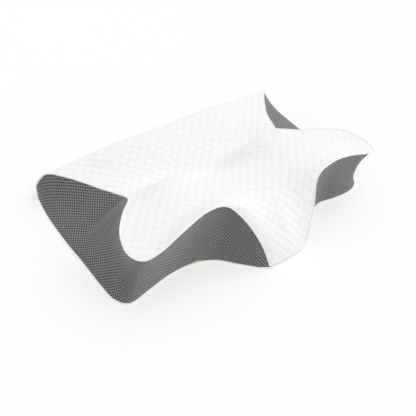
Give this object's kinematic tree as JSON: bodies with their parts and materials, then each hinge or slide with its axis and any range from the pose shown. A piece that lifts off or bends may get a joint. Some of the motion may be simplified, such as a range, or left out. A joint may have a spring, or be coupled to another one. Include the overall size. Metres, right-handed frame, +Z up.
{
  "type": "cervical contour pillow",
  "caption": "Butterfly-shaped contour pillow with a head hollow, raised neck roll, side wings and front lobe, in a zip-off quilted cover with mesh sides.",
  "frame": {"origin": "centre of the bounding box, on the surface that the pillow lies on", "axes": "+X is the long way, to the right seen from the front; -Y is the front with the neck lobe; +Z is up"},
  "size_m": [0.6422, 0.393, 0.1238],
  "materials": {
    "foam": "slow-rebound polyurethane foam, matte, moulded skin",
    "liner": "thin knitted jersey, matte",
    "quilt": "white knit with diamond quilting, matte, faintly cool",
    "mesh": "dark grey three-dimensional spacer mesh, matte",
    "base_knit": "plain white knit, matte",
    "trim": "white woven piping, satin",
    "zip_tape": "woven polyester tape, matte",
    "zip_coil": "nylon coil, satin",
    "zip_metal": "nickel-plated die casting",
    "label": "white satin ribbon, blank"
  },
  "bodies": {
    "pillow": {"foam_core": "foam", "liner_top": "liner", "liner_base": "liner", "cover_top_panel": "quilt", "cover_side_left": "mesh", "cover_side_right": "mesh", "cover_back_band": "quilt", "cover_base_panel": "base_knit", "piping_left": "trim", "piping_right": "trim", "base_rim": "trim", "zip_tape_upper": "zip_tape", "zip_tape_lower": "zip_tape", "zip_coil_upper": "zip_coil", "zip_coil_lower": "zip_coil", "zip_top_stop_upper": "zip_metal", "zip_top_stop_lower": "zip_metal", "zip_bottom_stop": "zip_metal", "care_label": "label"},
    "slider": {"zip_slider": "zip_metal"},
    "pull": {"zip_pull": "zip_metal"}
  },
  "joints": [
    {"name": "zip_slide", "type": "slide", "parent": "pillow", "child": "slider", "axis": [1, 0, 0], "range_m": [0, 0.42]},
    {"name": "pull_hinge", "type": "hinge", "parent": "slider", "child": "pull", "pos_m": [-0.2135, 0.1949, 0.015], "axis": [0, 0, -1], "range_deg": [0, 170]}
  ]
}
